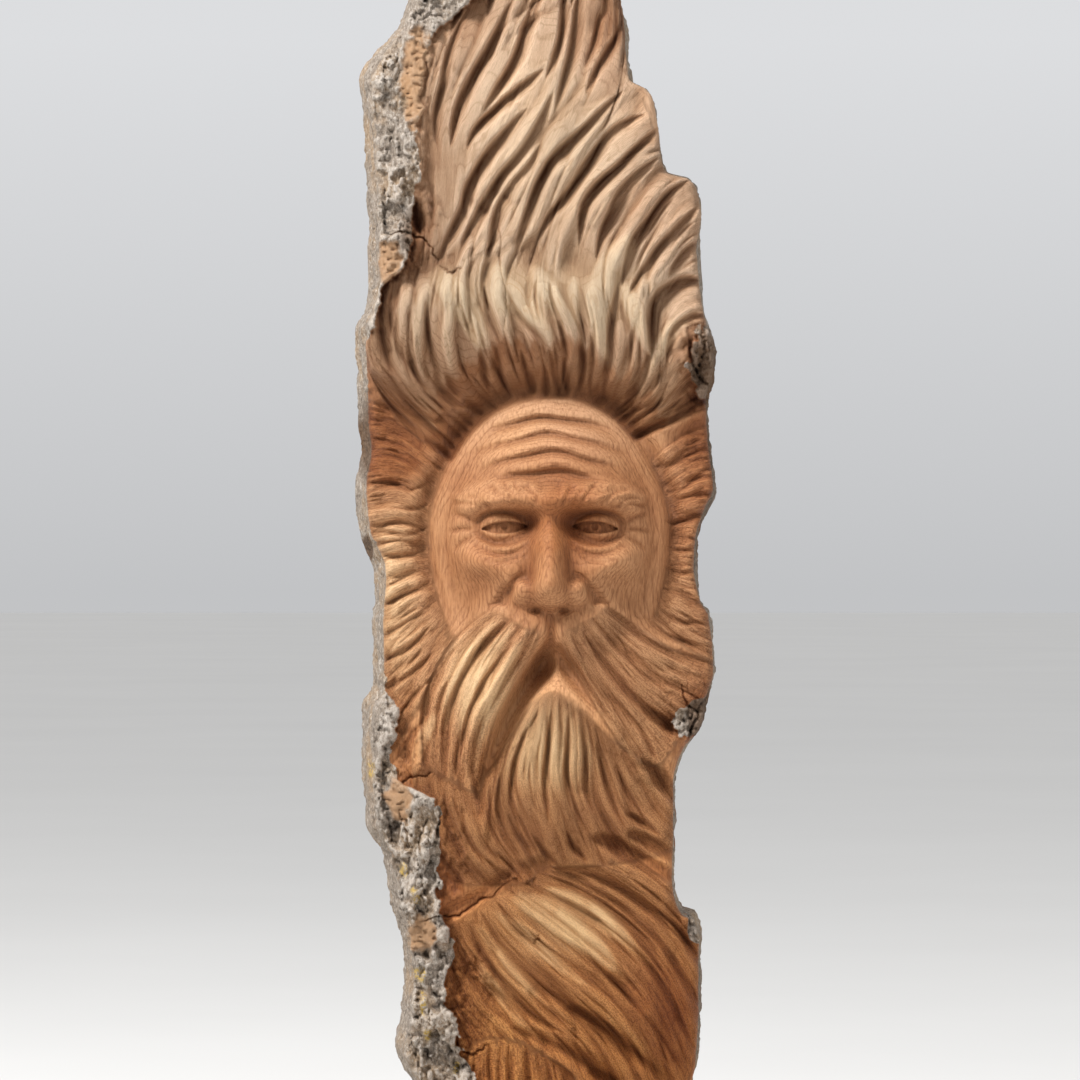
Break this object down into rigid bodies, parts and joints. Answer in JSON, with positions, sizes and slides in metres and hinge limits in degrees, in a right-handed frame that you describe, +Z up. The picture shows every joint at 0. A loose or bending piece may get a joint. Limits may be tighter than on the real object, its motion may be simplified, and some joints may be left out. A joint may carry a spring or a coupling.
{
  "type": "wood spirit wall carving",
  "caption": "Bearded wood spirit face with swept hair, carved in relief in an upright slab of natural tree bark, flat behind so that it can hang on a wall.",
  "frame": {"origin": "middle of the flat back, where the carving lies against the wall", "axes": "+Z up along the length of the slab, -Y the way the face looks, +Y into the wall, +X to the right as seen from the front"},
  "size_m": [0.1323, 0.0622, 0.4792],
  "materials": {
    "carved_bark": "oiled carved bark, matt, with a rim of weathered grey outer bark"
  },
  "bodies": {
    "root": {"wood_spirit_carving": "carved_bark"}
  },
  "joints": []
}
